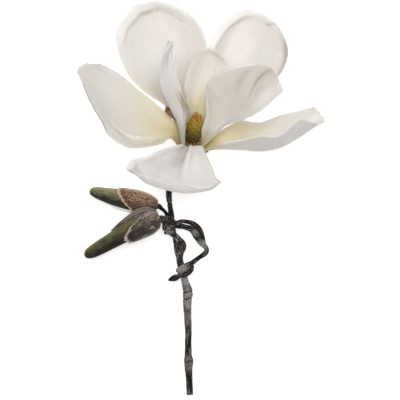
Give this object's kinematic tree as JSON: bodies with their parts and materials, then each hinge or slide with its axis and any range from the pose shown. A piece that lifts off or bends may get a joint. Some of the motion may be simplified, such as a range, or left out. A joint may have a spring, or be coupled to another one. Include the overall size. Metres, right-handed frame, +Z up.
{
  "type": "magnolia flower",
  "caption": "White magnolia flower with spread tepals round a green cone, on a cut woody twig with closed buds, lying on a surface.",
  "frame": {"origin": "on the surface that the flower lies on, under the middle of its bounding box", "axes": "+Y along the twig from its cut end to the flower, +Z up from the surface, +X to the right"},
  "size_m": [0.1965, 0.3209, 0.0898],
  "materials": {
    "tepal_white": "satin",
    "cone_olive": "matte",
    "stamen_tan": "matte",
    "style_orange": "matte",
    "bark_brown": "matte",
    "bud_green": "matte",
    "scale_brown": "matte"
  },
  "bodies": {
    "root": {"tepal_back_left": "tepal_white", "tepal_back_right": "tepal_white", "tepal_left": "tepal_white", "tepal_right": "tepal_white", "tepal_front": "tepal_white", "tepal_inner_right": "tepal_white", "tepal_inner_back": "tepal_white", "tepal_inner_left": "tepal_white", "bract_left": "scale_brown", "bract_right": "scale_brown", "cone": "cone_olive", "stamens": "stamen_tan", "styles": "style_orange", "twig": "bark_brown", "bud_upper": "bud_green", "bud_lower": "bud_green", "scale_upper": "scale_brown", "scale_lower_front": "scale_brown", "scale_lower_back": "scale_brown"}
  },
  "joints": []
}
